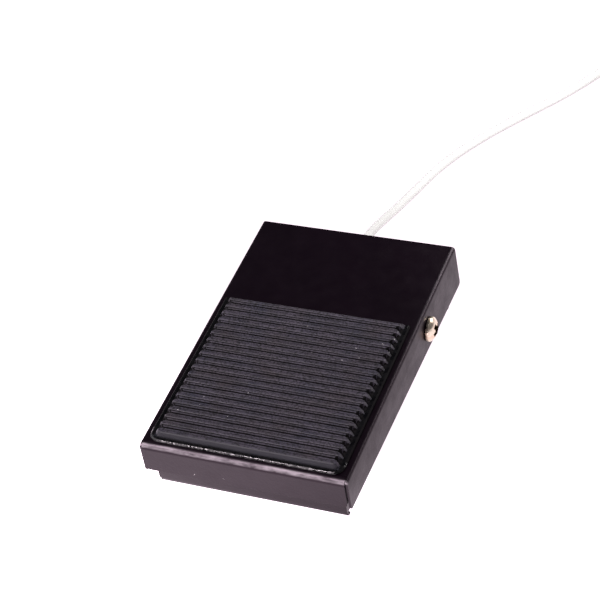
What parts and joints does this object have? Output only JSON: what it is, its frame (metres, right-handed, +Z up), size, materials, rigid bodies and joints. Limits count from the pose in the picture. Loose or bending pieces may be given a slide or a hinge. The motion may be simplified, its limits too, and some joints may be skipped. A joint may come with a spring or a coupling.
{
  "type": "sustain pedal",
  "caption": "Metal foot switch pedal with a ribbed rubber tread on a hinged sloping cover, a return spring, a snap switch and a coiled lead with a jack plug.",
  "frame": {"origin": "on the floor under the middle of the cover, at the feet's underside", "axes": "+Z up, +Y from the player's side towards the lead's exit, +X to the player's right"},
  "size_m": [0.1367, 0.28, 0.0257],
  "materials": {
    "powder_coat": "black powder coat, fine texture, semi-matt",
    "tread_rubber": "black ribbed rubber, dull on top with glossy edges",
    "black_rubber": "black moulded rubber, matt",
    "zinc_plate": "yellow passivated zinc plate",
    "pivot_brass": "turned brass",
    "plain_steel": "bright zinc-plated steel",
    "spring_steel": "drawn spring wire",
    "switch_plastic": "black moulded switch case",
    "plunger_plastic": "red moulded plunger",
    "contact_brass": "tinned brass solder tag",
    "wire_black": "black wire insulation",
    "wire_red": "red wire insulation",
    "lead_jacket": "off-white PVC jacket, satin",
    "tie_fabric": "black hook-and-loop strap",
    "plug_plastic": "black moulded plug body",
    "plug_metal": "bright nickel plate"
  },
  "bodies": {
    "base": {"base_tray": "powder_coat", "foot_front_left": "black_rubber", "foot_front_right": "black_rubber", "foot_rear_left": "black_rubber", "foot_rear_right": "black_rubber", "stop_bumper_left": "black_rubber", "stop_bumper_right": "black_rubber", "rear_stop_strip": "black_rubber", "strain_relief": "black_rubber", "pivot_screw_left": "zinc_plate", "pivot_screw_right": "zinc_plate", "pivot_nut_left": "zinc_plate", "pivot_nut_right": "zinc_plate", "bracket_screw_front": "zinc_plate", "bracket_screw_rear": "zinc_plate", "clamp_screw": "zinc_plate", "pivot_bush_left": "pivot_brass", "pivot_bush_right": "pivot_brass", "lock_washer_left": "plain_steel", "lock_washer_right": "plain_steel", "spring_stud_lower": "plain_steel", "switch_bracket": "plain_steel", "cable_clamp": "plain_steel", "switch_screw_front": "plain_steel", "switch_screw_rear": "plain_steel", "switch_nut_front": "plain_steel", "switch_nut_rear": "plain_steel", "return_spring": "spring_steel", "switch_case": "switch_plastic", "switch_terminal_com": "contact_brass", "switch_terminal_no": "contact_brass", "switch_terminal_nc": "contact_brass", "wire_ground": "wire_black", "wire_signal": "wire_red", "cable_tail": "lead_jacket", "lead_run": "lead_jacket", "lead_coil": "lead_jacket", "lead_tail": "lead_jacket", "coil_tie": "tie_fabric", "plug_body": "plug_plastic", "plug_relief": "plug_plastic", "plug_insulator": "plug_plastic", "plug_sleeve": "plug_metal", "plug_tip": "plug_metal"},
    "pedal": {"pedal_cover": "powder_coat", "rubber_tread": "tread_rubber", "actuator_stud": "plain_steel", "spring_stud_upper": "plain_steel"},
    "lever": {"switch_lever": "plain_steel"},
    "plunger": {"switch_plunger": "plunger_plastic"}
  },
  "joints": [
    {"name": "pedal_pivot", "type": "hinge", "parent": "base", "child": "pedal", "pos_m": [0, 0.0215, 0.0163], "axis": [1, 0, 0], "range_deg": [0, 3.2], "stiffness_Nm_per_rad": 5.5, "springref_deg": -3.15, "deforming": ["return_spring"]},
    {"name": "lever_hinge", "type": "hinge", "parent": "base", "child": "lever", "pos_m": [0, -0.004, 0.014], "axis": [1, 0, 0], "range_deg": [0, 9.8]},
    {"name": "plunger_slide", "type": "slide", "parent": "base", "child": "plunger", "axis": [0, 0, -1], "range_m": [0, 0.0007]}
  ],
  "couplings": [
    {"joint": "lever_hinge", "follows": "pedal_pivot", "ratio": 3.04},
    {"joint": "plunger_slide", "follows": "pedal_pivot", "m_per_rad": 0.0122}
  ]
}
